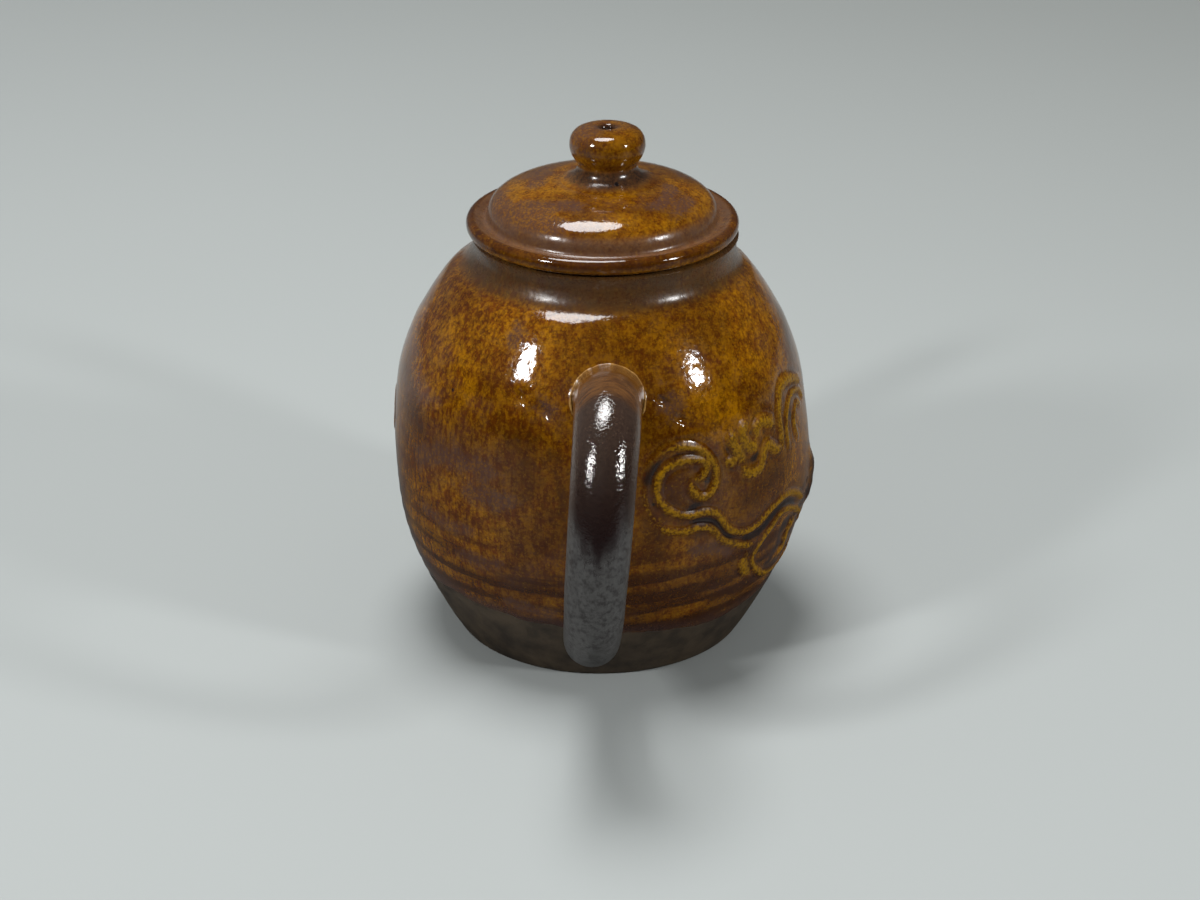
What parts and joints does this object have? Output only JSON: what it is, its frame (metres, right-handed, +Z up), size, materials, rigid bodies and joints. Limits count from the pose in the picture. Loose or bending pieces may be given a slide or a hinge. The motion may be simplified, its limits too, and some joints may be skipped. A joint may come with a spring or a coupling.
{
  "type": "back-handled teapot",
  "caption": "Small stoneware teapot with a loop handle opposite its spout, a lift-off domed lid and trailed cloud-scroll relief.",
  "frame": {"origin": "on the axis of the pot, at the surface it stands on", "axes": "+Z up along the pot's axis, +X towards the spout, the handle at -X"},
  "size_m": [0.1495, 0.0867, 0.1058],
  "materials": {
    "pot_glaze": "mottled amber-brown glaze, gloss, over a bare dark foot",
    "handle_glaze": "dark purplish-brown glaze, gloss above and duller below",
    "relief_glaze": "yellowish-brown glaze thinned over raised trails",
    "lid_glaze": "mottled amber-brown glaze, gloss",
    "bare_clay": "bare fired clay, matt"
  },
  "bodies": {
    "pot": {"pot_floor": "pot_glaze", "body_wall": "pot_glaze", "shoulder_wall": "pot_glaze", "mouth_collar": "pot_glaze", "spout": "pot_glaze", "handle": "handle_glaze", "relief_rear_outer_wave": "relief_glaze", "relief_rear_inner_wave": "relief_glaze", "relief_rear_lower_whorl": "relief_glaze", "relief_rear_whorl_leaf": "relief_glaze", "relief_rear_whorl_tongue": "relief_glaze", "relief_rear_upper_whorl": "relief_glaze", "relief_rear_upper_whorl_middle": "relief_glaze", "relief_rear_upper_whorl_eye": "relief_glaze", "relief_rear_flame_low": "relief_glaze", "relief_rear_flame_low_heel": "relief_glaze", "relief_rear_flame_middle": "relief_glaze", "relief_rear_flame_high": "relief_glaze", "relief_rear_flame_base": "relief_glaze", "relief_front_outer_wave": "relief_glaze", "relief_front_inner_wave": "relief_glaze", "relief_front_lower_whorl": "relief_glaze", "relief_front_whorl_leaf": "relief_glaze", "relief_front_whorl_tongue": "relief_glaze", "relief_front_upper_whorl": "relief_glaze", "relief_front_upper_whorl_middle": "relief_glaze", "relief_front_upper_whorl_eye": "relief_glaze", "relief_front_flame_low": "relief_glaze", "relief_front_flame_low_heel": "relief_glaze", "relief_front_flame_middle": "relief_glaze", "relief_front_flame_high": "relief_glaze", "relief_front_flame_base": "relief_glaze", "relief_far_outer_wave": "relief_glaze", "relief_far_inner_wave": "relief_glaze", "relief_far_lower_whorl": "relief_glaze", "relief_far_whorl_leaf": "relief_glaze", "relief_far_whorl_tongue": "relief_glaze", "relief_far_upper_whorl": "relief_glaze", "relief_far_upper_whorl_middle": "relief_glaze", "relief_far_upper_whorl_eye": "relief_glaze", "relief_far_flame_low": "relief_glaze", "relief_far_flame_low_heel": "relief_glaze", "relief_far_flame_middle": "relief_glaze", "relief_far_flame_high": "relief_glaze", "relief_far_flame_base": "relief_glaze", "relief_wave_crest": "relief_glaze", "relief_far_tail": "relief_glaze"},
    "lid": {"lid_cover": "lid_glaze", "lid_flange": "bare_clay", "lid_knob": "lid_glaze"}
  },
  "joints": [
    {"name": "lid_lift", "type": "slide", "parent": "pot", "child": "lid", "axis": [0, 0, 1], "range_m": [0, 0.05]}
  ]
}
